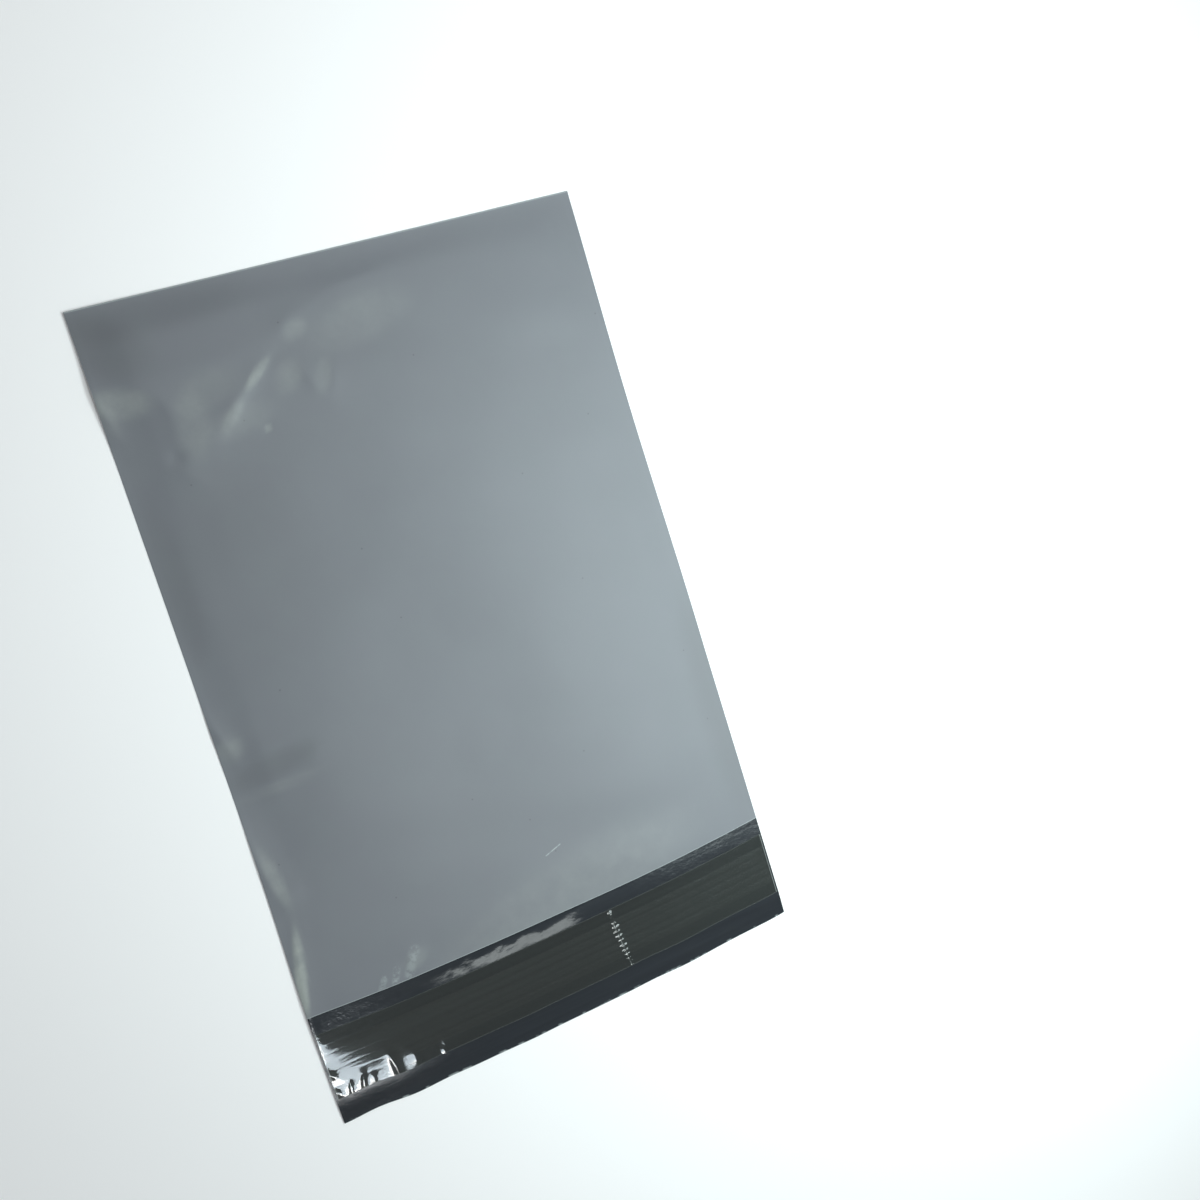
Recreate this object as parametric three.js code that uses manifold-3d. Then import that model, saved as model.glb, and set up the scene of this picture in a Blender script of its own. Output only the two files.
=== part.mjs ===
// A flat poly mailer bag: one folded and side-welded sheet of film, a hot-melt adhesive strip on its
// closing lip, and the release liner that covers the strip. Millimetres, +Z up.
// The bag lies on its back panel, with its closed end towards +Y and its lip towards -Y.
// The origin is under the middle of the bag, on the surface that it lies on.
import * as THREE from "three";
import { mergeVertices } from "three/addons/utils/BufferGeometryUtils.js";
import Module from "manifold-3d";

// ---- Driving dimensions --------------------------------------------------------------------------
const BAG_WIDTH = 254;
const POCKET_LENGTH = 347;
const LIP_LENGTH = 53;
const FILM = 0.06; // thickness of the film
const POCKET_GAP = 0.3; // air between the panels of an empty bag
const WELD_WIDTH = 3.5; // fused strip along each side
const SLOPE_WIDTH = 18; // the front panel rises over this width from a weld or the fold

const BAND_SETBACK = 7.5; // bare lip between the mouth and the liner
const LINER_WIDTH = 33;
const LINER_THICKNESS = 0.04;
const LINER_END_INSET = 1; // the liner stops this short of each side of the lip
const LINER_HEM = 5; // the liner comes down to the lip over this width

const GLUE_WIDTH = 20.5;
const GLUE_END_INSET = 2;
const GLUE_BASE = 0.04; // adhesive between the beads
const BEAD_HEIGHT = 0.06; // a bead stands this far over the base
const BEAD_COUNT = 5;

// ---- Places that follow from them ----------------------------------------------------------------
const TOTAL_LENGTH = POCKET_LENGTH + LIP_LENGTH;
const FOLD_Y = TOTAL_LENGTH / 2;
const LIP_Y = -TOTAL_LENGTH / 2;
const MOUTH_Y = LIP_Y + LIP_LENGTH;
const BAND_Y = MOUTH_Y - BAND_SETBACK - LINER_WIDTH / 2; // middle of the liner and the adhesive
const GLUE_TOP = FILM + GLUE_BASE + BEAD_HEIGHT;

// ---- Materials -----------------------------------------------------------------------------------
const filmGrey = new THREE.MeshStandardMaterial({ color: 0x8b969c, roughness: 0.42, metalness: 0 });
const glueGrey = new THREE.MeshStandardMaterial({ color: 0x3c4341, roughness: 0.35, metalness: 0 });
const linerClear = new THREE.MeshStandardMaterial({ color: 0x5a625f, roughness: 0.08, metalness: 0 });

// ---- Solids --------------------------------------------------------------------------------------
const wasm = await Module();
wasm.setup();

// A closed geometry as a manifold-3d solid, for joining and cutting.
function toSolid(geometry) {
  const bare = geometry.clone();
  bare.deleteAttribute("normal");
  bare.deleteAttribute("uv");
  const merged = mergeVertices(bare);
  const vertProperties = new Float32Array(merged.attributes.position.array);
  const triVerts = new Uint32Array(merged.index.array);
  return new wasm.Manifold(new wasm.Mesh({ numProp: 3, vertProperties, triVerts }));
}

// A manifold-3d solid as a geometry with flat faces.
function toGeometry(solid) {
  const mesh = solid.getMesh();
  const geometry = new THREE.BufferGeometry();
  geometry.setAttribute("position", new THREE.BufferAttribute(mesh.vertProperties, 3));
  geometry.setIndex(new THREE.BufferAttribute(mesh.triVerts, 1));
  geometry.computeVertexNormals();
  return geometry;
}

// A section drawn in the plane of Y and Z, carried along X over a width centred on the bag.
function acrossBag(section, width) {
  const geometry = new THREE.ExtrudeGeometry(section, { depth: width, bevelEnabled: false });
  const toFrame = new THREE.Matrix4().set(0, 0, 1, -width / 2, 1, 0, 0, 0, 0, 1, 0, 0, 0, 0, 0, 1);
  return geometry.applyMatrix4(toFrame);
}

// A section drawn in the plane of X and Z, carried along Y over the bag's length and a little past it.
function alongBag(section) {
  const past = 5;
  const depth = TOTAL_LENGTH + 2 * past;
  const geometry = new THREE.ExtrudeGeometry(section, { depth, bevelEnabled: false });
  const toFrame = new THREE.Matrix4().set(1, 0, 0, 0, 0, 0, -1, depth / 2, 0, 1, 0, 0, 0, 0, 0, 1);
  return geometry.applyMatrix4(toFrame);
}

// ---- Bag film ------------------------------------------------------------------------------------
// Seen from the side, the sheet is a hairpin: lip and back panel below, a tight round fold at the
// closed end, and the front panel above, which ends at the mouth.
function filmOutsideAlong() {
  const shape = new THREE.Shape();
  shape.moveTo(LIP_Y, 0);
  shape.lineTo(FOLD_Y - FILM, 0);
  shape.absarc(FOLD_Y - FILM, FILM, FILM, -Math.PI / 2, Math.PI / 2, false);
  shape.lineTo(FOLD_Y - FILM - SLOPE_WIDTH, 2 * FILM + POCKET_GAP);
  shape.lineTo(MOUTH_Y, 2 * FILM + POCKET_GAP);
  shape.lineTo(MOUTH_Y, FILM);
  shape.lineTo(LIP_Y, FILM);
  shape.closePath();
  return shape;
}

// Seen from an end, the panels are fused flat at both sides and part towards the middle.
function filmOutsideAcross() {
  const side = BAG_WIDTH / 2;
  const weld = side - WELD_WIDTH;
  const crown = weld - SLOPE_WIDTH;
  const shape = new THREE.Shape();
  shape.moveTo(-side, 0);
  shape.lineTo(side, 0);
  shape.lineTo(side, 2 * FILM);
  shape.lineTo(weld, 2 * FILM);
  shape.lineTo(crown, 2 * FILM + POCKET_GAP);
  shape.lineTo(-crown, 2 * FILM + POCKET_GAP);
  shape.lineTo(-weld, 2 * FILM);
  shape.lineTo(-side, 2 * FILM);
  shape.closePath();
  return shape;
}

// The pocket is the same form one film thickness further in, and it runs out through the mouth.
function pocketAlong() {
  const past = 2;
  const shape = new THREE.Shape();
  shape.moveTo(MOUTH_Y - past, FILM);
  shape.lineTo(FOLD_Y - FILM, FILM);
  shape.lineTo(FOLD_Y - FILM - SLOPE_WIDTH, FILM + POCKET_GAP);
  shape.lineTo(MOUTH_Y - past, FILM + POCKET_GAP);
  shape.closePath();
  return shape;
}

function pocketAcross() {
  const weld = BAG_WIDTH / 2 - WELD_WIDTH;
  const crown = weld - SLOPE_WIDTH;
  const shape = new THREE.Shape();
  shape.moveTo(-weld, FILM);
  shape.lineTo(weld, FILM);
  shape.lineTo(crown, FILM + POCKET_GAP);
  shape.lineTo(-crown, FILM + POCKET_GAP);
  shape.closePath();
  return shape;
}

function makeFilm() {
  const outside = toSolid(acrossBag(filmOutsideAlong(), BAG_WIDTH)).intersect(
    toSolid(alongBag(filmOutsideAcross())),
  );
  const pocket = toSolid(acrossBag(pocketAlong(), BAG_WIDTH)).intersect(
    toSolid(alongBag(pocketAcross())),
  );
  const mesh = new THREE.Mesh(toGeometry(outside.subtract(pocket)), filmGrey);
  mesh.name = "mailer_film";
  return mesh;
}

// ---- Adhesive strip ------------------------------------------------------------------------------
// A thin base with lengthwise beads, each a low round hump. It lies on the lip's inner face.
function makeAdhesive() {
  const pitch = GLUE_WIDTH / BEAD_COUNT;
  const near = BAND_Y - GLUE_WIDTH / 2;
  const section = new THREE.Shape();
  section.moveTo(near, FILM);
  section.lineTo(near + GLUE_WIDTH, FILM);
  section.lineTo(near + GLUE_WIDTH, FILM + GLUE_BASE);
  for (let bead = BEAD_COUNT - 1; bead >= 0; bead--) {
    const foot = near + bead * pitch;
    section.lineTo(foot + 0.8 * pitch, FILM + GLUE_BASE);
    section.lineTo(foot + 0.65 * pitch, GLUE_TOP);
    section.lineTo(foot + 0.35 * pitch, GLUE_TOP);
    section.lineTo(foot + 0.2 * pitch, FILM + GLUE_BASE);
  }
  section.lineTo(near, FILM + GLUE_BASE);
  section.closePath();
  const mesh = new THREE.Mesh(acrossBag(section, BAG_WIDTH - 2 * GLUE_END_INSET), glueGrey);
  mesh.name = "adhesive_strip";
  return mesh;
}

// ---- Release liner -------------------------------------------------------------------------------
// A film strip that rests on the beads and comes down to the lip along both of its long edges.
function makeLiner() {
  const half = LINER_WIDTH / 2;
  const flat = half - LINER_HEM;
  const outline = [
    [-half, FILM],
    [-flat, GLUE_TOP],
    [flat, GLUE_TOP],
    [half, FILM],
    [half, FILM + LINER_THICKNESS],
    [flat, GLUE_TOP + LINER_THICKNESS],
    [-flat, GLUE_TOP + LINER_THICKNESS],
    [-half, FILM + LINER_THICKNESS],
  ];
  const section = new THREE.Shape(outline.map(([y, z]) => new THREE.Vector2(BAND_Y + y, z)));
  const mesh = new THREE.Mesh(acrossBag(section, BAG_WIDTH - 2 * LINER_END_INSET), linerClear);
  mesh.name = "release_liner";
  return mesh;
}

const group = new THREE.Group();
group.add(makeFilm(), makeAdhesive(), makeLiner());

export default group;
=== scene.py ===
"""A flat poly mailer bag, lying face up: its film, the adhesive strip on its closing lip and the clear
release liner over that strip. It is laid out as a Blender add-on and is run as a script."""

import math

import bpy
import numpy as np
from bpy.props import FloatProperty, FloatVectorProperty, IntProperty, PointerProperty
from mathutils import Matrix, Vector


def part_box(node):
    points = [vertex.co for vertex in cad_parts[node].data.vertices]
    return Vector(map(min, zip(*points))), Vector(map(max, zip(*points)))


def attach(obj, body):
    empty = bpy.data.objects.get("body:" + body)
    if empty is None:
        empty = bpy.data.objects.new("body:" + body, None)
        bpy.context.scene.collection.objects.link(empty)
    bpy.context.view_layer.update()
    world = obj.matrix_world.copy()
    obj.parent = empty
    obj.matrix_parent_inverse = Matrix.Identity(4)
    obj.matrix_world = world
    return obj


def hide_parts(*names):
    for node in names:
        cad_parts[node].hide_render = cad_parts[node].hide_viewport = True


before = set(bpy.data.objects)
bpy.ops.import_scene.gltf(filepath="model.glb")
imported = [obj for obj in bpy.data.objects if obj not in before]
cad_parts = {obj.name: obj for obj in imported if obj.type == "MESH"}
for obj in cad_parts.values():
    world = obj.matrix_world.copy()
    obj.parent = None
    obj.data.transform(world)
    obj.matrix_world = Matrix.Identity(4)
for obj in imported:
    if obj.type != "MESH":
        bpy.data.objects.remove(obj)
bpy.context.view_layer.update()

bl_info = {
    "name": "Poly mailer bag",
    "version": (1, 0, 0),
    "blender": (4, 5, 0),
    "location": "3D View > Sidebar > Mailer",
    "description": "Builds a flat poly mailer bag round its packed frame",
    "category": "Add Mesh",
}

MM = 0.001


# ---- Sizes that come from the frame --------------------------------------------------------------
class Bag:
    """The bag's main places, in metres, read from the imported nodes."""

    def __init__(self):
        low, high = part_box("mailer_film")
        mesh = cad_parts["mailer_film"].data
        corners = np.empty(3 * len(mesh.vertices), np.float32)
        mesh.vertices.foreach_get("co", corners)
        corners = corners.reshape(-1, 3)
        front_panel = corners[corners[:, 2] > 0.9 * high.z]
        self.half = high.x
        self.fold = high.y
        self.lip = low.y
        self.mouth = float(front_panel[:, 1].min())
        self.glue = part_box("adhesive_strip")
        self.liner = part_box("release_liner")
        self.film = self.glue[0].z
        self.liner_film = self.liner[1].z - self.glue[1].z


BAG = Bag()


# ---- Settings ------------------------------------------------------------------------------------
class MailerFilmSettings(bpy.types.PropertyGroup):
    """Sizes and colours of the bag's film."""

    weld: FloatProperty(
        name="Weld width",
        description="Width of the fused strip along each side",
        default=3.5 * MM,
        unit="LENGTH",
    )
    slope: FloatProperty(
        name="Slope width",
        description="The front panel rises over this width from a weld or the fold",
        default=18 * MM,
        unit="LENGTH",
    )
    fold_radius: FloatProperty(
        name="Fold radius",
        description="Radius of the fold at the closed end",
        default=0.16 * MM,
        unit="LENGTH",
    )
    rise: FloatProperty(
        name="Panel rise",
        description="How far the empty front panel stands over the back panel",
        default=0.3 * MM,
        unit="LENGTH",
    )
    swell: FloatProperty(
        name="Swell",
        description="Height of the long soft waves in the front panel",
        default=0.30 * MM,
        unit="LENGTH",
    )
    bow: FloatProperty(
        name="Bow",
        description="How far the mouth and the lip's edge bow outwards at the middle",
        default=2.9 * MM,
        unit="LENGTH",
    )
    outside: FloatVectorProperty(
        name="Outside",
        description="Colour of the film's outer face",
        subtype="COLOR",
        default=(0.127, 0.138, 0.156),
    )
    inside: FloatVectorProperty(
        name="Inside",
        description="Colour of the film's inner face",
        subtype="COLOR",
        default=(0.0195, 0.0232, 0.0280),
    )
    # the cut-edge colour is also the painted rim highlight along the cut edges and the fold, and the colour
    # of whitened scuffs
    cut: FloatVectorProperty(
        name="Cut edge",
        description="Colour of the film where it is cut or folded sharply",
        subtype="COLOR",
        default=(0.30, 0.34, 0.34),
    )


class MailerBandSettings(bpy.types.PropertyGroup):
    """Sizes and colours of the adhesive strip and its liner."""

    beads: IntProperty(
        name="Beads",
        description="Number of lengthwise beads of adhesive",
        default=5,
    )
    wrinkle: FloatProperty(
        name="Wrinkle",
        description="Height of the liner's small wrinkles",
        default=0.003 * MM,
        unit="LENGTH",
    )
    pleat: FloatProperty(
        name="Pleat",
        description="Height of the one pleat that runs across the liner",
        default=0.60 * MM,
        unit="LENGTH",
    )
    glue: FloatVectorProperty(
        name="Adhesive",
        description="Colour of the adhesive over the charcoal film",
        subtype="COLOR",
        default=(0.019, 0.024, 0.022),
    )
    veil: FloatVectorProperty(
        name="Liner",
        description="Faint colour of the clear liner itself",
        subtype="COLOR",
        default=(0.020, 0.026, 0.024),
    )


class MailerStageSettings(bpy.types.PropertyGroup):
    """Camera and floor."""

    camera: FloatVectorProperty(
        name="Camera",
        description="Where the camera stands",
        subtype="TRANSLATION",
        unit="LENGTH",
        default=(-0.186, 0.0875, 0.674),
    )
    target: FloatVectorProperty(
        name="Target",
        description="The point on the bag that the camera looks at",
        subtype="TRANSLATION",
        unit="LENGTH",
        default=(0.078, -0.004, 0.0),
    )
    heading: FloatProperty(
        name="Heading",
        description="Direction of the picture's top, turned from the closed end to the right",
        subtype="ANGLE",
        default=math.radians(18.5),
    )
    lens: FloatProperty(
        name="Lens",
        description="Focal length on a 36 mm wide sensor",
        default=42.4,
        unit="CAMERA",
    )
    floor: FloatVectorProperty(
        name="Floor",
        description="Colour of the plain floor",
        subtype="COLOR",
        default=(0.9, 0.9, 0.9),
    )


# ---- Shapes as formulas --------------------------------------------------------------------------
def smooth(start, end, value):
    """Rises from 0 at start to 1 at end, level at both: three t squared less two t cubed."""
    t = np.clip((value - start) / (end - start), 0, 1)
    return t * t * (3 - 2 * t)


def hump(value, middle, reach):
    """A hump of height 1 at the middle that ends one reach away: a cosine squared."""
    t = np.clip(np.abs(value - middle) / reach, 0, 1)
    return np.cos(t * math.pi / 2) ** 2


def ripples(x, y, wavelength, seed, waves=9, across=1.0):
    """Soft noise about 1 high: a sum of cosine waves of about one wavelength in seeded directions.
    across stretches them along X, so that they read as lengthwise ridges where it is over 1."""
    rng = np.random.default_rng(seed)
    turns = rng.uniform(0, 2 * math.pi, waves)
    phases = rng.uniform(0, 2 * math.pi, waves)
    sizes = rng.uniform(0.7, 1.5, waves) * wavelength
    total = np.zeros_like(x)
    for turn, phase, size in zip(turns, phases, sizes):
        way = x * math.cos(turn) / across + y * math.sin(turn)
        total += np.cos(2 * math.pi * way / size + phase)
    return total / math.sqrt(waves)


def curve_through(points, steps=12):
    """A smooth curve through the points, as a Catmull-Rom spline."""
    p = np.array(points, float)
    p = np.vstack([2 * p[0] - p[1], p, 2 * p[-1] - p[-2]])
    t = np.linspace(0, 1, steps, endpoint=False)[:, None]
    spans = [
        0.5 * (2 * b + (c - a) * t + (2 * a - 5 * b + 4 * c - d) * t**2 + (3 * b - a - 3 * c + d) * t**3)
        for a, b, c, d in zip(p, p[1:], p[2:], p[3:])
    ]
    return np.vstack([*spans, p[-2:-1]])


def crease(x, y, points, height, left, right, round_off):
    """A crest along a smooth curve. It falls off exponentially over one distance on its left and over
    another on its right, its top is rounded, and it fades to nothing at both ends. Each of the curve's
    points makes a peak whose height follows the fade, and the crest is the greatest of them."""
    curve = curve_through(points)
    tangent = np.gradient(curve, axis=0)
    tangent /= np.linalg.norm(tangent, axis=1, keepdims=True)
    fade = np.sin(math.pi * np.linspace(0, 1, len(curve)))
    dx = x[..., None] - curve[:, 0]
    dy = y[..., None] - curve[:, 1]
    far = np.sqrt(dx * dx + dy * dy + round_off**2)
    turn = smooth(-0.5, 0.5, (tangent[:, 0] * dy - tangent[:, 1] * dx) / far)
    fall = right + (left - right) * turn
    return height * (fade * np.exp((round_off - far) / fall)).max(-1)


def dimple(x, y, middle, radius, height):
    """A small round bump, or a dent where the height is negative: a bell curve of the distance."""
    far = ((x - middle[0]) ** 2 + (y - middle[1]) ** 2) / radius**2
    return height * np.exp(-far)


def zones(start, *stretches):
    """Places from start on through stretches, each given by its end and its greatest step."""
    places = [np.array([start])]
    for end, step in stretches:
        count = math.ceil(abs(end - start) / step)
        places.append(np.linspace(start, end, count + 1)[1:])
        start = end
    return np.concatenate(places)


# ---- Meshes --------------------------------------------------------------------------------------
def shell(name, outer, inner, across, along, fold=None):
    """A closed mesh between two grids of points that share their layout: the outer grid, the inner grid
    turned over, and a strip of quads round the four edges. The flat places across and along go into
    the UV map named sheet, in metres. A quad is split from its first corner to its third, so from the
    row of a fold on the corners start one place later, and panels that face each other split alike."""
    rows, columns = outer.shape[:2]
    index = np.arange(rows * columns).reshape(rows, columns)
    quads = np.stack([index[:-1, :-1], index[:-1, 1:], index[1:, 1:], index[1:, :-1]], -1)
    if fold is not None:
        quads[fold:] = np.roll(quads[fold:], -1, axis=-1)
    quads = quads.reshape(-1, 4)
    rim = np.concatenate([index[0, :-1], index[:-1, -1], index[-1, :0:-1], index[:0:-1, 0]])
    next_rim = np.roll(rim, -1)
    below = rows * columns
    edge = np.stack([next_rim, rim, rim + below, next_rim + below], -1)
    faces = np.concatenate([quads, quads[:, [0, 3, 2, 1]] + below, edge])
    points = np.concatenate([outer.reshape(-1, 3), inner.reshape(-1, 3)])
    mesh = bpy.data.meshes.new(name)
    mesh.from_pydata(points.tolist(), [], faces.tolist())
    flat = np.stack(np.broadcast_arrays(across[None, :], along[:, None]), -1).reshape(-1, 2)
    flat = np.concatenate([flat, flat])[faces.ravel()]
    mesh.uv_layers.new(name="sheet").data.foreach_set("uv", flat.astype(np.float32).ravel())
    which = np.concatenate([np.zeros(len(quads)), np.ones(len(quads)), np.zeros(len(edge))])
    mesh.polygons.foreach_set("material_index", which.astype(np.int32))
    mesh.shade_smooth()
    mesh.set_sharp_from_angle(angle=math.radians(50))
    mesh.validate()
    piece = bpy.data.objects.new(name, mesh)
    bpy.context.scene.collection.objects.link(piece)
    return piece


def thick_sheet(name, middle, thickness, across, along, fold=None):
    """A closed sheet round its middle surface: each point goes half the thickness both ways along the
    surface's normal, which is the cross product of the grid's two directions."""
    normal = np.cross(np.gradient(middle, axis=1), np.gradient(middle, axis=0))
    normal /= np.linalg.norm(normal, axis=-1, keepdims=True)
    half = normal * thickness / 2
    return shell(name, middle + half, middle - half, across, along, fold)


def dress(piece, outer, inner=None):
    """Gives a shell its materials: one for its outer grid and edges, and one for its inner grid."""
    piece.data.materials.append(outer)
    piece.data.materials.append(inner or outer)


# ---- How the bag lies ----------------------------------------------------------------------------
def laid(x, y, z, film):
    """Puts flat places where the bag's outline has them. The mouth and the lip bow outwards at the
    middle, and the mouth's ends lie a little further in. The left side bows out beside the lip and the
    right side bows in beside the pocket. The lip's edge is slightly ragged."""
    towards_lip = smooth(60 * MM, BAG.mouth, y)
    arch = 1 - np.abs(x / BAG.half) ** 2.6
    past_mouth = smooth(BAG.mouth, BAG.lip, y)
    ragged = 0.35 * MM * ripples(x, 0 * x, 34 * MM, seed=5) * past_mouth
    left = smooth(40 * MM, -BAG.half, x) * hump(y, -155 * MM, 110 * MM)
    right = smooth(-40 * MM, BAG.half, x) * hump(y, 90 * MM, 120 * MM)
    new_x = x - 1.4 * MM * left - 1.2 * MM * right
    ends = 0.8 * MM * (1 - arch) * towards_lip * (1 - past_mouth)
    new_y = y - film.bow * arch * towards_lip + ends + ragged
    return np.stack(np.broadcast_arrays(new_x, new_y, z), -1)


CREASES = (
    # of the front panel: points in mm from the middle of the bag, then the height and the fall to the
    # left and to the right of the way, in mm
    (((-112, 160), (-90, 163), (-64, 163), (-40, 166)), 0.9, 28, 9),
    (((-44, 161), (-53, 154), (-62, 146), (-70, 138), (-78, 127)), 0.95, 2.8, 16),
    (((-36, 166), (-55, 152), (-80, 132), (-96, 112)), 0.8, 16, 26),
    (((-66, 145), (-70, 138), (-75, 131)), 0.35, 2.5, 6),
    (((-34, 153), (-30, 143), (-24, 130)), 0.60, 5, 3),
    (((-17, 150), (-19, 141), (-24, 130)), 0.40, 6, 2.2),
    (((-48, 152), (-40, 153), (-32, 150)), 0.25, 4, 5),
    (((-42, 164), (-33, 173), (-20, 178)), 0.70, 6, 7),
    (((-40, 168), (-12, 180), (20, 186), (55, 192)), 1.0, 12, 30),
    (((-103, 121), (-98, 116), (-88, 107)), 0.35, 4, 5),
    (((-93, 122), (-90, 85), (-96, 45)), 0.35, 34, 26),
    (((-78, -10), (-84, -24), (-92, -36)), 1.0, 30, 22),
    (((-122, -19), (-108, -17), (-85, -15)), 0.40, 6, 2.5),
    (((-90, -33), (-106, -35), (-122, -34)), 0.30, 5, 3),
    (((-89, -150), (-87, -145), (-84, -139)), 0.25, 1.3, 1.0),
    (((-84, -150), (-81, -143), (-79, -136)), 0.30, 1.5, 1.2),
    (((-74, -150), (-71, -142), (-72, -134)), 0.35, 3, 1.5),
    (((10, 30), (40, -20), (60, -80)), 0.5, 40, 40),
)
EDGE_CREASES = (
    # the same, where both panels are creased together beside the left weld
    (((-160, 156), (-131, 164), (-118, 163), (-107, 160), (-99, 152), (-97, 138), (-100, 108)), 1.7, 20, 12),
    (((-129, 172), (-126, 156), (-121, 134)), 1.1, 9, 5),
    (((-129, 16), (-125, 0), (-122, -9), (-119, -23)), 0.90, 7, 5),
    (((-127.5, -40), (-126, -66), (-121, -93)), 0.60, 5, 4),
    (((-124, -92), (-118, -89), (-110, -84)), 0.35, 3, 1.8),
    (((-118, -95), (-123, -122), (-126, -147), (-127, -165)), 0.70, 4, 3),
)
DIMPLES = (
    # of the front panel: middle, radius and height in mm
    ((-56.6, 126.5), 2.2, -0.20),
    ((-58.5, -103.4), 1.6, 0.12),
    ((-101, 125), 3.5, -0.35),
    ((-69, -138), 6.0, 0.30),
    ((-116, -104), 2.2, 0.25),
)
PAINTED_LIGHT_AND_SHADE = (
    # painted light and shade on the front panel: pale patches are painted sheen and highlights, dark ones
    # painted shade;
    # middle in mm, half length and half width in mm, turn in degrees from +X, and how pale the patch is, or
    # how dark where it is negative
    ((-118, 155), (15, 7), -12, 0.34),
    ((-124, 149), (9, 4), 100, 0.16),
    ((-118, 182), (24, 14), -35, -0.18),
    ((-88, 191), (46, 11), 0, -0.12),
    ((-89, 137), (17, 8), 80, 0.20),
    ((-78, 151), (17, 8), 12, 0.12),
    ((-53.5, 152), (9.5, 2.4), 39, 0.55),
    ((-70, 137), (9, 3), 45, 0.22),
    ((-30, 167), (6.5, 4.5), 25, 0.26),
    ((2, 165), (27, 11), 12, 0.16),
    ((-40, 147), (9, 6), 50, 0.18),
    ((-24, 143), (9, 4), 62, 0.20),
    ((-68, 133), (17, 6.5), 10, 0.16),
    ((-56.6, 126.5), (2, 2), 0, 0.35),
    ((-121, 72), (42, 9), 90, -0.12),
    ((-121, -11), (6.5, 5.5), 20, 0.25),
    ((-106, -25), (24, 6), 8, -0.15),
    ((-104, -34.5), (20, 2.4), 3, 0.14),
    ((-121, -76), (16, 3.4), -80, 0.36),
    ((-123.5, -126), (23, 2.8), 80, 0.85),
    ((15, -140), (75, 20), 8, 0.18),
    ((128, -78), (62, 15), 90, -0.18),
    ((-85, 62), (50, 40), 90, -0.10),
    ((-70, -138.5), (7, 4.5), 25, 0.22),
)


def painted_light_and_shade_at(x, y):
    """How much painted light or shade the table of patches puts on a place: pale for painted sheen, dark for
    painted shade.
    Each patch is full inside its ellipse and falls off quickly past it: e to the minus far to the 2.2, where
    far is 1 on the ellipse."""
    total = np.zeros_like(x)
    for middle, radii, turn, amount in PAINTED_LIGHT_AND_SHADE:
        cos = math.cos(math.radians(turn))
        sin = math.sin(math.radians(turn))
        off_x = x / MM - middle[0]
        off_y = y / MM - middle[1]
        far = ((off_x * cos + off_y * sin) / radii[0]) ** 2
        far += ((off_y * cos - off_x * sin) / radii[1]) ** 2
        total += amount * np.exp(-(far**2.2))
    return total


def creased(x, y, creases, round_off=1.2):
    """All of a table's creases added up, in metres."""
    total = np.zeros_like(x)
    for points, height, left, right in creases:
        total += crease(x, y, np.array(points) * MM, height * MM, left * MM, right * MM, round_off * MM)
    return total


def lift(x, y):
    """How far the back panel and the lip stand off the floor. The corners curl up a little and the lip
    has low waves. The stiff adhesive band stands 0.6 mm up, and the lip falls from it to its edge. Both
    panels share the creases beside the left weld."""
    lip = smooth(BAG.mouth + 20 * MM, BAG.lip, y)
    corner = hump(x, -BAG.half, 60 * MM) * hump(y, BAG.lip, 60 * MM)
    other = hump(x, BAG.half, 70 * MM) * hump(y, BAG.lip, 70 * MM)
    closed = hump(x, -BAG.half, 60 * MM) * hump(y, BAG.fold, 70 * MM)
    waves = 1 + ripples(x, y, 90 * MM, seed=3, waves=6)
    band = smooth(BAG.mouth + 110 * MM, BAG.mouth + 15 * MM, y) * smooth(BAG.lip - 4 * MM, BAG.liner[0].y, y)
    total = 0.2 * corner + 0.2 * other + 0.6 * closed + 0.06 * lip * np.clip(waves, 0, 3)
    return (total + 0.6 * band) * MM + creased(x, y, EDGE_CREASES)


def sag(x, y):
    """How far the back panel sinks between the front panel's edge and the stiff adhesive band, over the
    middle of the bag, so that the mouth gapes a little there."""
    span = smooth(-90 * MM, -25 * MM, x) * (1 - smooth(10 * MM, 18 * MM, x))
    uneven = 1 + 0.22 * ripples(x, y, 6 * MM, seed=4) + 0.12 * ripples(x, y, 15 * MM, seed=6)
    return 0.5 * MM * span * hump(y, BAG.mouth - 1.5 * MM, 7.5 * MM) * np.clip(uneven, 0.5, 1.15)


def opening(x, y, film):
    """How far the front panel's middle stands over the back panel's. It is one film thickness in the
    side welds and two radii at the fold, and between them the panel's rise with its swell, creases
    and dimples."""
    turn = BAG.fold - film.fold_radius
    inside = smooth(0, film.slope, BAG.half - film.weld - np.abs(x))
    inside = inside * smooth(0, film.slope, turn - y)
    marks = film.swell * ripples(x, y, 115 * MM, seed=11)
    marks += 0.40 * film.swell * ripples(x, y, 38 * MM, seed=12, across=1.6)
    marks += 0.6 * film.swell * ripples(x, 0 * y, 60 * MM, seed=14, waves=5) * hump(y, BAG.mouth, 40 * MM)
    marks += creased(x, y, CREASES)
    for middle, radius, height in DIMPLES:
        marks += dimple(x, y, np.array(middle) * MM, radius * MM, height * MM)
    at_fold = (2 * film.fold_radius - BAG.film) * np.exp(-(turn - y) / (3 * MM))
    return BAG.film + at_fold + inside * np.maximum(film.rise + marks, 0.1 * MM)


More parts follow.
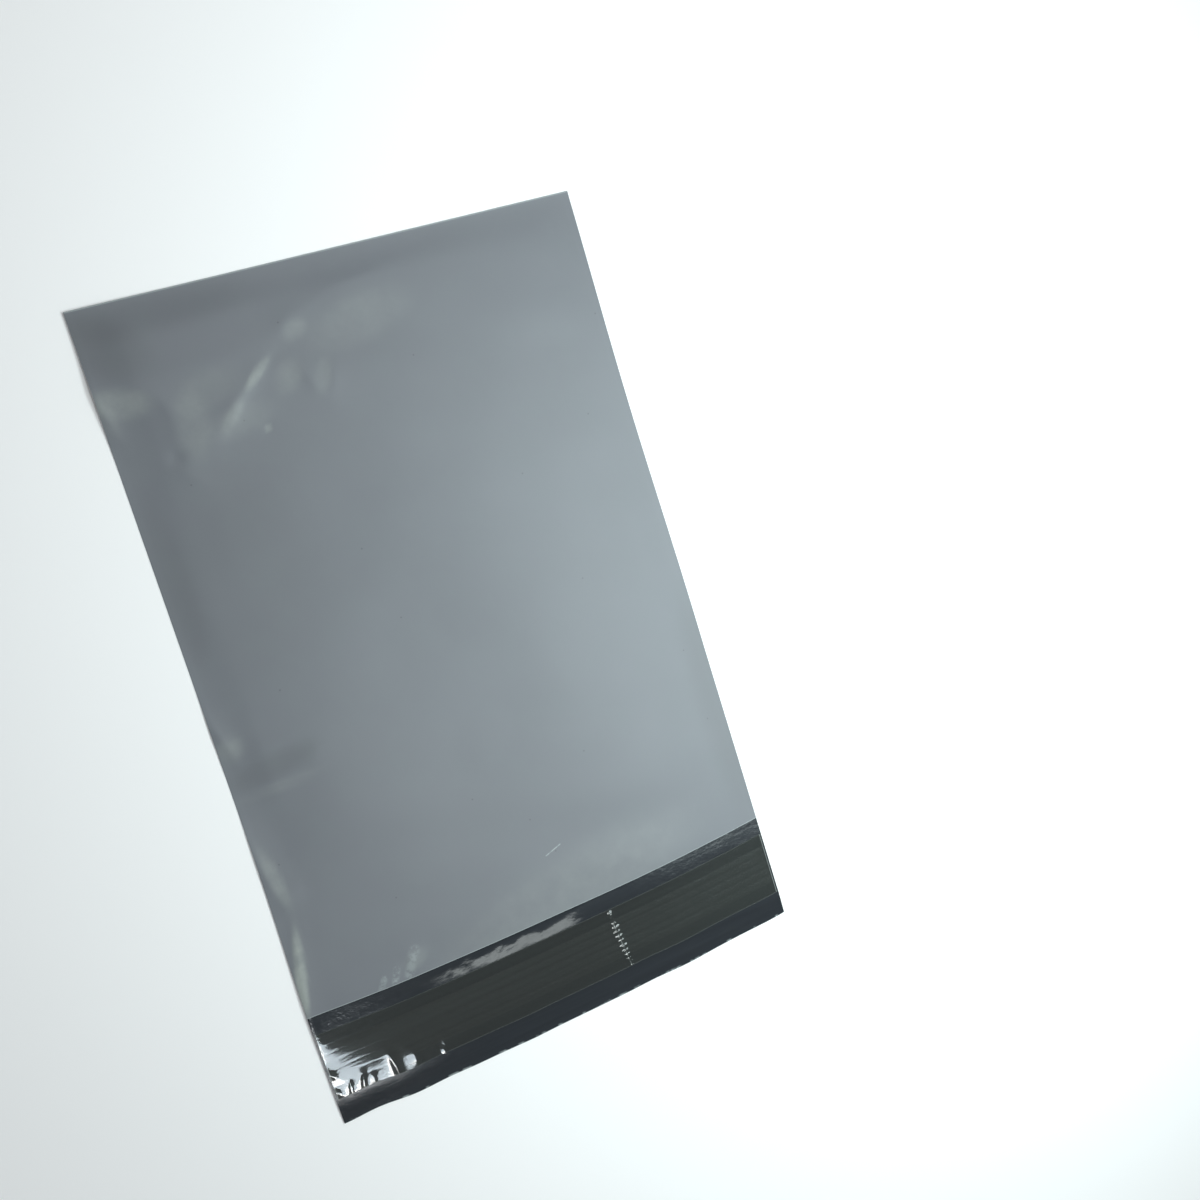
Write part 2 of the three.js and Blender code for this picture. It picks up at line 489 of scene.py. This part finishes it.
# ---- Shader maths --------------------------------------------------------------------------------
class Signal:
    """One output socket. Sums and products of signals and numbers add Math nodes."""

    def __init__(self, graph, socket):
        self.graph = graph
        self.socket = socket

    def math(self, operation, other=0.0, reflected=False):
        """Adds a Math node of this signal and another signal or number, which comes first if reflected."""
        first, second = (other, self) if reflected else (self, other)
        return self.graph.add("ShaderNodeMath", {"operation": operation}, {0: first, 1: second})

    def __add__(self, other):
        return self.math("ADD", other)

    def __sub__(self, other):
        return self.math("SUBTRACT", other)

    def __mul__(self, other):
        return self.math("MULTIPLY", other)

    def __truediv__(self, other):
        return self.math("DIVIDE", other)

    def __pow__(self, other):
        return self.math("POWER", other)

    def __rsub__(self, other):
        return self.math("SUBTRACT", other, reflected=True)

    __radd__ = __add__
    __rmul__ = __mul__

    def least(self, other):
        return self.math("MINIMUM", other)

    def most(self, other):
        return self.math("MAXIMUM", other)

    def size(self):
        return self.math("ABSOLUTE")

    def within(self, limit=1.0):
        """The signal kept between 0 and a limit."""
        return self.most(0).least(limit)

    def ramp(self, start, end):
        """Rises smoothly from 0 where the signal is start to 1 where it is end."""
        settings = {"interpolation_type": "SMOOTHSTEP"}
        return self.graph.add(
            "ShaderNodeMapRange", settings, {"Value": self, "From Min": start, "From Max": end}
        )


class Graph:
    """A material's node tree. Every node comes from add."""

    def __init__(self, name):
        self.material = bpy.data.materials.new(name)
        self.material.use_nodes = True
        self.tree = self.material.node_tree
        self.tree.nodes.clear()

    def add(self, kind, settings=None, sockets=None, out=0):
        """Adds a node. Its settings are set first, then its sockets get their values or links."""
        node = self.tree.nodes.new(kind)
        for key, value in (settings or {}).items():
            setattr(node, key, value)
        for key, value in (sockets or {}).items():
            if isinstance(value, Signal):
                self.tree.links.new(value.socket, node.inputs[key])
            else:
                node.inputs[key].default_value = value
        return Signal(self, node.outputs[out]) if node.outputs else None

    def blend(self, share, first, second):
        """Mixes two colours by the second one's share, from 0 to 1."""
        sockets = {
            0: share,
            6: first if isinstance(first, Signal) else (*first, 1),
            7: second if isinstance(second, Signal) else (*second, 1),
        }
        return self.add("ShaderNodeMix", {"data_type": "RGBA"}, sockets, out=2)

    def place(self):
        """Object coordinates, in metres in the bag's own frame."""
        return self.add("ShaderNodeTexCoord", out=3)

    def flat(self):
        """Where a point lies on the flat sheet: across it and along it, in metres."""
        across = self.add("ShaderNodeSeparateXYZ", None, {"Vector": self.sheet()})
        return across, Signal(self, across.socket.node.outputs["Y"])

    def sheet(self):
        """The piece's UV map, which holds the flat sheet's own places in metres."""
        return self.add("ShaderNodeUVMap", {"uv_map": "sheet"})

    def noise(self, vector, scale, detail=2.0, roughness=0.5):
        """Cloudy noise between 0 and 1, with about scale clouds to one unit of the vector."""
        sockets = {"Vector": vector, "Scale": scale, "Detail": detail, "Roughness": roughness}
        return self.add("ShaderNodeTexNoise", None, sockets)

    def specks(self, scale, radius):
        """Small round spots, one in each cell of the flat sheet. Their radius is a share of a cell."""
        sockets = {"Vector": self.sheet(), "Scale": scale}
        away = self.add("ShaderNodeTexVoronoi", {"voronoi_dimensions": "2D"}, sockets)
        return 1 - away.ramp(0.6 * radius, 1.4 * radius)

    def stretched(self, vector, scale):
        """The coordinates with each axis multiplied, so that a pattern runs along one of them."""
        return self.add("ShaderNodeMapping", None, {"Vector": vector, "Scale": scale})

    def bump(self, height, distance, strength):
        """The surface's normal, tilted as if the height times a distance in metres were true relief."""
        sockets = {"Height": height, "Distance": distance, "Strength": strength}
        return self.add("ShaderNodeBump", None, sockets)

    def finish(self, sockets):
        """Adds the surface shader with these sockets and the output, and returns the material."""
        surface = self.add("ShaderNodeBsdfPrincipled", None, sockets)
        self.add("ShaderNodeOutputMaterial", None, {"Surface": surface})
        return self.material


def to_segment(across, along, start, end):
    """Distance from a flat place to a straight segment: the place less its nearest point, which lies a
    clamped share of the way from start to end."""
    way = (end[0] - start[0], end[1] - start[1])
    reach = way[0] ** 2 + way[1] ** 2
    share = (across - start[0]) * (way[0] / reach) + (along - start[1]) * (way[1] / reach)
    share = share.within()
    off_x = across - start[0] - share * way[0]
    off_y = along - start[1] - share * way[1]
    return (off_x * off_x + off_y * off_y) ** 0.5


def shades(colour, low, high):
    """Two shades of one colour: its channels multiplied by each factor."""
    return [low * c for c in colour], [high * c for c in colour]


def nicks(g, place, away, reach):
    """Small scattered nicks in a cut edge, which fade out at a reach away from it."""
    return g.noise(place, 160).ramp(0.56, 0.66) * (1 - away.ramp(0.3 * MM, reach))


# ---- Materials -----------------------------------------------------------------------------------
PAINTED_SHEEN = (0.26, 0.285, 0.27)  # painted sheen: pale film where a patch catches the light
PAINTED_SHADE = (0.030, 0.035, 0.034)  # painted shade: film that is turned from the light
SCUFFS = (
    # where the film has whitened: a segment in mm from the middle of the bag, its half width and strength
    (((8.4, -115.7), (17.4, -112.8)), 0.4, 0.90),
    (((-90, -147), (-87, -142)), 2.0, 0.45),
    (((-83, -147), (-80, -140)), 2.0, 0.55),
    (((-75, -145), (-69, -134)), 3.0, 0.40),
)


def outside_finish(film):
    """Satin grey film: soft mottling, a few dark specks, a slightly paler weld along both sides, pale patches
    of painted sheen and dark patches of painted shade from the table of patches, whitened scuffs, and a
    painted rim highlight along the cut edges and the fold."""
    g = Graph("satin_grey_film")
    place = g.place()
    across, along = g.flat()
    fold = BAG.fold - BAG.mouth
    from_lip = sheet_length(film) - along

    broad = g.noise(place, 14, 3, 0.55)
    cloud = g.noise(place, 55, 4, 0.6)
    colour = g.blend(broad.ramp(0.3, 0.7), *shades(film.outside, 0.98, 1.02))
    colour = g.blend(cloud.ramp(0.35, 0.75) * 0.12, colour, (0.15, 0.18, 0.18))

    colour = g.blend(g.specks(15, 0.006) * 0.5, colour, (0.05, 0.055, 0.06))

    side = across.least(2 * BAG.half - across)
    weld = 1 - side.ramp(film.weld - 1.2 * MM, film.weld + 1.2 * MM)
    colour = g.blend(weld * 0.10, colour, [1.25 * c for c in film.outside])

    # painted light and shade: the point attribute gives each place its painted sheen, made uneven by noise,
    # or its painted shade
    painted_light_and_shade = g.add("ShaderNodeAttribute", {"attribute_name": "painted_light_and_shade"}, out=2)
    uneven = g.noise(place, 90, 3, 0.6) * 2
    colour = g.blend((painted_light_and_shade * uneven).within(), colour, PAINTED_SHEEN)
    colour = g.blend((painted_light_and_shade * -1).within(), colour, PAINTED_SHADE)

    patchy = g.noise(place, 340, 3, 0.65).ramp(0.36, 0.62)
    for ends, width, strength in SCUFFS:
        start, end = ([x * MM + BAG.half, y * MM - BAG.mouth] for x, y in ends)
        scuff = 1 - to_segment(across, along, start, end).ramp(0.2 * width * MM, 1.2 * width * MM)
        colour = g.blend(scuff * patchy * strength, colour, film.cut)

    # painted rim highlight: a pale line along the mouth's and the lip's cut edges and along the fold, with
    # pale nicks near the lip's edge
    cut = 1 - along.least(from_lip).ramp(0.15 * MM, 0.45 * MM)
    folded = 1 - (along - fold).size().ramp(0.3 * MM, 0.9 * MM)
    pale = cut.most(folded).most(nicks(g, place, from_lip, 1.1 * MM))
    colour = g.blend(pale * 0.75, colour, film.cut)

    grain = g.noise(place, 1500)
    dapple = g.noise(place, 210, 3, 0.6)
    height = grain * 0.25 + dapple
    return g.finish(
        {
            "Base Color": colour,
            "Roughness": cloud * 0.08 + 0.41,
            "IOR": 1.5,
            "Normal": g.bump(height, 0.03 * MM, 0.6),
        }
    )


def inside_finish(film):
    """Smooth charcoal film: slightly blue, with faint streaks across the bag, a faint crumple, and a nicked
    cut edge with a painted rim highlight along it."""
    g = Graph("charcoal_film")
    place = g.place()
    from_lip = sheet_length(film) - g.flat()[1]
    streak = g.noise(g.stretched(place, (6, 150, 1)), 1, 3, 0.6)
    cloud = g.noise(g.stretched(place, (70, 150, 1)), 1, 3, 0.6)
    crumple = g.noise(place, 420, 3, 0.6)
    colour = g.blend(streak.ramp(0.3, 0.7), *shades(film.inside, 0.88, 1.12))
    colour = g.blend(cloud.ramp(0.4, 0.8) * 0.2, colour, (0.024, 0.028, 0.031))
    # painted rim highlight along the lip's cut edge
    cut = (1 - from_lip.ramp(0.1 * MM, 0.35 * MM)) * 0.3
    pale = cut.most(nicks(g, place, from_lip, 1.2 * MM) * 0.8)
    colour = g.blend(pale, colour, film.cut)
    return g.finish(
        {
            "Base Color": colour,
            "Roughness": cloud * 0.08 + 0.09,
            "IOR": 1.5,
            "Specular IOR Level": 0.24,
            "Normal": g.bump(streak + cloud + crumple * 1.5, 0.06 * MM, 0.6),
        }
    )


def glue_finish(band):
    """Dark tacky adhesive: a painted highlight along the top of each bead, with uneven lengthwise streaks."""
    g = Graph("hot_melt_adhesive")
    place = g.place()
    pitch = (BAG.glue[1].y - BAG.glue[0].y) / band.beads
    # painted highlight: the top of each bead is paler
    painted_crown_highlight = (g.flat()[1] / pitch).math("PINGPONG", 0.5)
    streak = g.noise(g.stretched(place, (5, 420, 1)), 1, 3, 0.6)
    cloud = g.noise(place, 60, 3)
    share = painted_crown_highlight * 1.2 + streak - 0.3
    colour = g.blend(share.ramp(0.2, 0.9), *shades(band.glue, 0.75, 1.35))
    return g.finish(
        {
            "Base Color": colour,
            "Roughness": cloud * 0.2 + 0.22,
            "IOR": 1.5,
            "Normal": g.bump(streak, 0.05 * MM, 0.6),
        }
    )


def liner_finish(band):
    """Clear glossy film with a faint green-grey veil, painted light that makes it paler towards the right,
    fine lengthwise draw lines, a painted highlight along its cut edges, and a broken pale line on the pleat's
    crest, which is partly whitened film and partly a painted highlight."""
    g = Graph("clear_liner_film")
    place = g.place()
    across, along = g.flat()
    line = g.noise(g.stretched(place, (4, 520, 1)), 1, 2, 0.5)
    wide = BAG.liner[1].x - BAG.liner[0].x
    deep = BAG.liner[1].y - BAG.liner[0].y
    ends = across.least(wide - across)
    cut = ends.least(along).least(deep - along)
    # painted highlight along the liner's cut edges
    pale = (1 - ends.ramp(0.15 * MM, 0.5 * MM)).most((1 - cut.ramp(0.1 * MM, 0.4 * MM)) * 0.3)
    colour = g.blend(line.ramp(0.3, 0.7), *shades(band.veil, 0.85, 1.15))
    # painted light: the liner grows paler towards its right end, where the light falls
    colour = g.blend(across.ramp(0.5 * wide, wide) * 0.35, colour, [2.2 * c for c in band.veil])
    start, end = ((x * MM - BAG.liner[0].x, y * MM - BAG.liner[0].y) for x, y in PLEAT[1:3])
    # the pleat's crest: partly film whitened by the pleat, partly a painted highlight
    crest = 1 - to_segment(across, along, start, end).ramp(0.05 * MM, 0.35 * MM)
    pale = pale.most(crest * g.noise(place, 420).ramp(0.42, 0.58))
    colour = g.blend(pale * 0.7, colour, (0.33, 0.36, 0.35))
    return g.finish(
        {
            "Base Color": colour,
            "Roughness": 0.05,
            "IOR": 1.5,
            "Specular IOR Level": 1.0,
            "Alpha": pale * 0.4 + 0.45,
            "Normal": g.bump(line, 0.02 * MM, 0.5),
        }
    )


# ---- Pieces --------------------------------------------------------------------------------------
def sheet_length(film):
    """Length of the unfolded sheet: the front panel, the fold's half circle, the back panel and lip."""
    turn = BAG.fold - film.fold_radius
    return (turn - BAG.mouth) + math.pi * film.fold_radius + (turn - BAG.lip)


def make_film(film):
    """The sheet is one grid. Its rows run from the front panel's mouth edge to the fold, round it and
    back along the back panel to the lip's edge. A point's height is the back panel's plus a share of
    the opening, and that share goes from 1 to 0 round the fold as half of one plus a cosine. The front
    panel is trimmed a little at the mouth."""
    turn = BAG.fold - film.fold_radius
    side = BAG.half - 6 * MM
    x = zones(-BAG.half, (-side, 0.8 * MM), (-12 * MM, 1.7 * MM), (side, 3.2 * MM), (BAG.half, 0.8 * MM))
    front = zones(
        BAG.mouth,
        (BAG.mouth + 3 * MM, 0.6 * MM),
        (-100 * MM, 1.9 * MM),
        (95 * MM, 2.8 * MM),
        (turn - 3 * MM, 1.7 * MM),
        (turn, 0.6 * MM),
    )
    angle = np.linspace(0, math.pi, 9)[1:-1]
    fold_row = len(front) + len(angle) // 2
    back = front[::-1]
    lip = zones(BAG.mouth, (BAG.lip + 2 * MM, 1.2 * MM), (BAG.lip, 0.5 * MM))[1:]
    y = np.concatenate([front, turn + film.fold_radius * np.sin(angle), back, lip])
    share = np.concatenate([np.ones(len(front)), (1 + np.cos(angle)) / 2, np.zeros(len(back) + len(lip))])
    along = np.concatenate(
        [
            front - BAG.mouth,
            turn - BAG.mouth + film.fold_radius * angle,
            turn - BAG.mouth + math.pi * film.fold_radius + turn - np.concatenate([back, lip]),
        ]
    )
    flat_x, flat_y = np.meshgrid(x, y)
    low = BAG.film / 2 + lift(flat_x, flat_y) - (1 - share[:, None]) * sag(flat_x, flat_y)
    height = low + share[:, None] * opening(flat_x, np.minimum(flat_y, turn), film)
    trim = 1.5 * MM * share[:, None] * (1 - smooth(BAG.mouth, BAG.mouth + 60 * MM, flat_y))
    middle = laid(flat_x, flat_y + trim, height, film)
    piece = thick_sheet("bag_film", middle, BAG.film, x + BAG.half, along, fold_row)
    # painted light and shade: each point of the front panel carries how much painted sheen or shade its
    # colour gets
    painted_light_and_shade = share[:, None] * painted_light_and_shade_at(flat_x, flat_y)
    layer = piece.data.attributes.new("painted_light_and_shade", "FLOAT", "POINT")
    layer.data.foreach_set("value", np.tile(painted_light_and_shade.ravel(), 2).astype(np.float32))
    dress(piece, outside_finish(film), inside_finish(film))
    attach(piece, "root")
    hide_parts("mailer_film")
    return piece


def bead_turn(y, band):
    """How far a place lies across its bead, from 0 at the bead's near edge to 1 at its far edge."""
    low, high = BAG.glue
    return (y - low.y) / (high.y - low.y) * band.beads % 1


def bead_profile(y, band):
    """Height of the adhesive's top over its base, from 0 to 1: one rounded hump for each bead."""
    return np.clip(1.6 * np.sin(math.pi * bead_turn(y, band)) ** 2, 0, 1)


def make_glue(film, band):
    """The adhesive's underside follows the lip, and its top adds a base and the beads, each of which
    wanders a little in height along its length."""
    low, high = BAG.glue
    columns, rows_per_bead = 126, 12
    x = np.linspace(low.x, high.x, columns)
    y = np.linspace(low.y, high.y, rows_per_bead * band.beads + 1)
    flat_x, flat_y = np.meshgrid(x, y)
    floor = BAG.film + lift(flat_x, flat_y)
    uneven = 1 + 0.15 * ripples(flat_x, flat_y, 9 * MM, seed=21, across=6)
    full = (high.z - low.z) * (0.4 + 0.55 * bead_profile(flat_y, band) * np.clip(uneven, 0.6, 1.09))
    top = laid(flat_x, flat_y, floor + full, film)
    bottom = laid(flat_x, flat_y, floor, film)
    piece = shell("glue_strip", top, bottom, x - low.x, y - low.y)
    dress(piece, glue_finish(band))
    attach(piece, "root")
    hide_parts("adhesive_strip")
    return piece


FLUTES = (
    # small ridges of the liner near its left end, as in CREASES
    (((-119.5, -190), (-118.5, -185.5), (-117.5, -181)), 0.10, 0.7, 0.7),
    (((-113.5, -191), (-112, -185.5), (-110.4, -179)), 0.16, 0.7, 0.7),
    (((-108, -190), (-107, -186), (-106, -182)), 0.10, 0.6, 0.6),
    (((-129, -172), (-126, -175), (-122, -179)), 0.10, 1.2, 1.2),
    (((-129, -181), (-126, -184), (-122, -188)), 0.10, 1.2, 1.2),
    (((-97, -174), (-95.5, -182), (-95, -191)), 0.22, 1.3, 1.3),
    (((-86, -176), (-84.5, -182), (-84, -191)), 0.18, 0.7, 7.0),
    (((-69.5, -178), (-69, -182), (-69, -185)), 0.12, 2.2, 0.8),
    (((-71, -184), (-70.5, -187), (-70, -190)), 0.12, 1.8, 0.8),
)
PLEAT = ((30.2, -153.0), (31.0, -159.0), (34.4, -187.0), (35.2, -192.0))  # mm from the middle


def make_liner(film, band):
    """The liner lies level with the tops of the beads, out to its edges. Small wrinkles, fine ridges
    along the beads, a few short flutes at the lower left and one pleat across it stand above that."""
    low, high = BAG.liner
    x = zones(low.x, (-70 * MM, 0.7 * MM), (high.x - 2 * MM, 1.4 * MM), (high.x, 0.5 * MM))
    y = zones(low.y, (high.y, 0.4 * MM))
    flat_x, flat_y = np.meshgrid(x, y)
    to_edge = np.minimum(flat_y - low.y, high.y - flat_y)
    on_beads = smooth(0, 1.2 * MM, to_edge)
    bead_top = BAG.glue[1].z - BAG.glue[0].z
    turn = bead_turn(flat_y, band)
    steep = 0.16  # share of a bead's width over which the ridge rises
    print_through = 0.005 * MM * np.minimum(turn / steep, (1 - turn) / (1 - steep))
    fine = ripples(flat_x, flat_y, 9 * MM, seed=31, across=2.2)
    coarse = 2 * ripples(flat_x, flat_y, 26 * MM, seed=32, across=1.4)
    pleat = crease(flat_x, flat_y, np.array(PLEAT) * MM, band.pleat, 1.1 * MM, 0.9 * MM, 0.4 * MM)
    pleat *= 1 + 0.15 * ripples(0 * flat_x, flat_y, 4 * MM, seed=33, waves=5)
    flutes = creased(flat_x, flat_y, FLUTES, 0.5)
    raised = 0.01 * MM + bead_top + on_beads * print_through + band.wrinkle * (fine + coarse) + pleat + flutes
    height = BAG.film + BAG.liner_film / 2 + lift(flat_x, flat_y) + raised
    middle = laid(flat_x, flat_y, height, film)
    piece = thick_sheet("clear_liner", middle, BAG.liner_film, x - low.x, y - low.y)
    dress(piece, liner_finish(band))
    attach(piece, "root")
    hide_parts("release_liner")
    return piece


# ---- Stage ---------------------------------------------------------------------------------------
LAMPS = (
    # name, place and point faced in mm, width and depth in mm, turn in degrees, radiance, colour
    ("key_softbox", (300, -55, 400), (300, -55, 0), (200, 440), 0, 9.1, (0.86, 1.0, 1.0)),
    ("middle_softbox", (150, -85, 800), (150, -85, 0), (250, 500), 0, 3.5, (0.90, 1.0, 1.0)),
    ("back_softbox", (400, 350, 800), (400, 350, 0), (1100, 250), 0, 2.4, (0.97, 1.0, 1.0)),
)
GLINTS = (
    # lamps that show only as reflections, in the same order
    ("corner_glint", (-50, -459, 674), (-112, -178, 0), (100, 26), -33, 24, (1.0, 1.0, 1.0)),
    ("corner_sky", (-38, -440, 674), (-112, -178, 0), (100, 21), -33, 13, (0.80, 0.92, 1.0)),
    ("mouth_glint", (128, -272, 674), (-20, -154, 0), (200, 90), 0, 8, (0.94, 1.0, 0.98)),
    ("pleat_glint", (800, -430, 674), (32, -172, 0), (500, 300), 0, 3.5, (1.0, 1.0, 1.0)),
)


def add_lamp(name, place, faced, size, turn, radiance, colour):
    """A rectangular lamp whose face looks at a point. Its width runs level across the bag, and then the
    lamp is turned in its own plane. Its power in watts is pi times its area times its radiance."""
    data = bpy.data.lights.new(name, "AREA")
    data.shape = "RECTANGLE"
    data.size = size[0] * MM
    data.size_y = size[1] * MM
    data.energy = math.pi * data.size * data.size_y * radiance
    data.color = colour
    lamp = bpy.data.objects.new(name, data)
    bpy.context.scene.collection.objects.link(lamp)
    back = (Vector(place) - Vector(faced)).normalized()
    right = Vector((0, 1, 0)).cross(back).normalized()
    axes = Matrix((right, back.cross(right), back)).transposed()
    turned = axes @ Matrix.Rotation(math.radians(turn), 3, "Z")
    lamp.matrix_world = Matrix.Translation(Vector(place) * MM) @ turned.to_4x4()
    return lamp


def add_camera(stage):
    """A camera that looks from its place at its target, with the picture's top on the heading."""
    data = bpy.data.cameras.new("camera")
    data.sensor_width = 36
    data.lens = stage.lens
    camera = bpy.data.objects.new("camera", data)
    bpy.context.scene.collection.objects.link(camera)
    place = Vector(stage.camera)
    back = (place - Vector(stage.target)).normalized()
    top = Vector((math.sin(stage.heading), math.cos(stage.heading), 0))
    right = top.cross(back).normalized()
    turned = Matrix((right, back.cross(right), back)).transposed()
    camera.matrix_world = Matrix.Translation(place) @ turned.to_4x4()
    bpy.context.scene.camera = camera


def add_floor(stage):
    """A wide plain floor just under the bag."""
    reach, drop = 6.0, 0.02 * MM
    mesh = bpy.data.meshes.new("floor")
    corners = [(-reach, -reach, -drop), (reach, -reach, -drop), (reach, reach, -drop), (-reach, reach, -drop)]
    mesh.from_pydata(corners, [], [(0, 1, 2, 3)])
    g = Graph("pale_floor")
    mesh.materials.append(g.finish({"Base Color": (*stage.floor, 1), "Roughness": 0.9}))
    floor = bpy.data.objects.new("floor", mesh)
    bpy.context.scene.collection.objects.link(floor)


# ---- Operators -----------------------------------------------------------------------------------
class MAILER_OT_film(bpy.types.Operator):
    """Add the bag's folded and welded film"""

    bl_idname = "mailer.film"
    bl_label = "Add film"

    def execute(self, context):
        make_film(context.scene.mailer_film)
        return {"FINISHED"}


class MAILER_OT_glue(bpy.types.Operator):
    """Add the adhesive strip on the lip"""

    bl_idname = "mailer.glue"
    bl_label = "Add adhesive strip"

    def execute(self, context):
        make_glue(context.scene.mailer_film, context.scene.mailer_band)
        return {"FINISHED"}


class MAILER_OT_liner(bpy.types.Operator):
    """Add the clear release liner over the adhesive strip"""

    bl_idname = "mailer.liner"
    bl_label = "Add release liner"

    def execute(self, context):
        make_liner(context.scene.mailer_film, context.scene.mailer_band)
        return {"FINISHED"}


class MAILER_OT_stage(bpy.types.Operator):
    """Add the floor, the lamps and the camera"""

    bl_idname = "mailer.stage"
    bl_label = "Add stage"

    def execute(self, context):
        stage = context.scene.mailer_stage
        add_floor(stage)
        add_camera(stage)
        for lamp in LAMPS:
            add_lamp(*lamp)
        for glint in GLINTS:
            lamp = add_lamp(*glint)
            lamp.visible_diffuse = False
        world = bpy.data.worlds.new("studio")
        world.use_nodes = True
        sky = world.node_tree.nodes["Background"]
        sky.inputs["Color"].default_value = (0.97, 0.98, 1.0, 1)
        sky.inputs["Strength"].default_value = 0.4
        context.scene.world = world
        context.scene.view_settings.view_transform = "Standard"
        return {"FINISHED"}


class MAILER_PT_panel(bpy.types.Panel):
    """Lists the bag's settings and the buttons that add its pieces"""

    bl_idname = "MAILER_PT_panel"
    bl_label = "Poly mailer bag"
    bl_space_type = "VIEW_3D"
    bl_region_type = "UI"
    bl_category = "Mailer"

    def draw(self, context):
        groups = (
            (context.scene.mailer_film, ("mailer.film",)),
            (context.scene.mailer_band, ("mailer.glue", "mailer.liner")),
            (context.scene.mailer_stage, ("mailer.stage",)),
        )
        for settings, operators in groups:
            box = self.layout.box()
            for name in settings.__annotations__:
                box.prop(settings, name)
            for operator in operators:
                box.operator(operator)


CLASSES = (
    MailerFilmSettings,
    MailerBandSettings,
    MailerStageSettings,
    MAILER_OT_film,
    MAILER_OT_glue,
    MAILER_OT_liner,
    MAILER_OT_stage,
    MAILER_PT_panel,
)


def register():
    for each in CLASSES:
        bpy.utils.register_class(each)
    bpy.types.Scene.mailer_film = PointerProperty(type=MailerFilmSettings)
    bpy.types.Scene.mailer_band = PointerProperty(type=MailerBandSettings)
    bpy.types.Scene.mailer_stage = PointerProperty(type=MailerStageSettings)


def unregister():
    del bpy.types.Scene.mailer_stage
    del bpy.types.Scene.mailer_band
    del bpy.types.Scene.mailer_film
    for each in reversed(CLASSES):
        bpy.utils.unregister_class(each)


def main():
    register()
    bpy.ops.mailer.stage()
    bpy.ops.mailer.film()
    bpy.ops.mailer.glue()
    bpy.ops.mailer.liner()


if __name__ == "__main__":
    main()
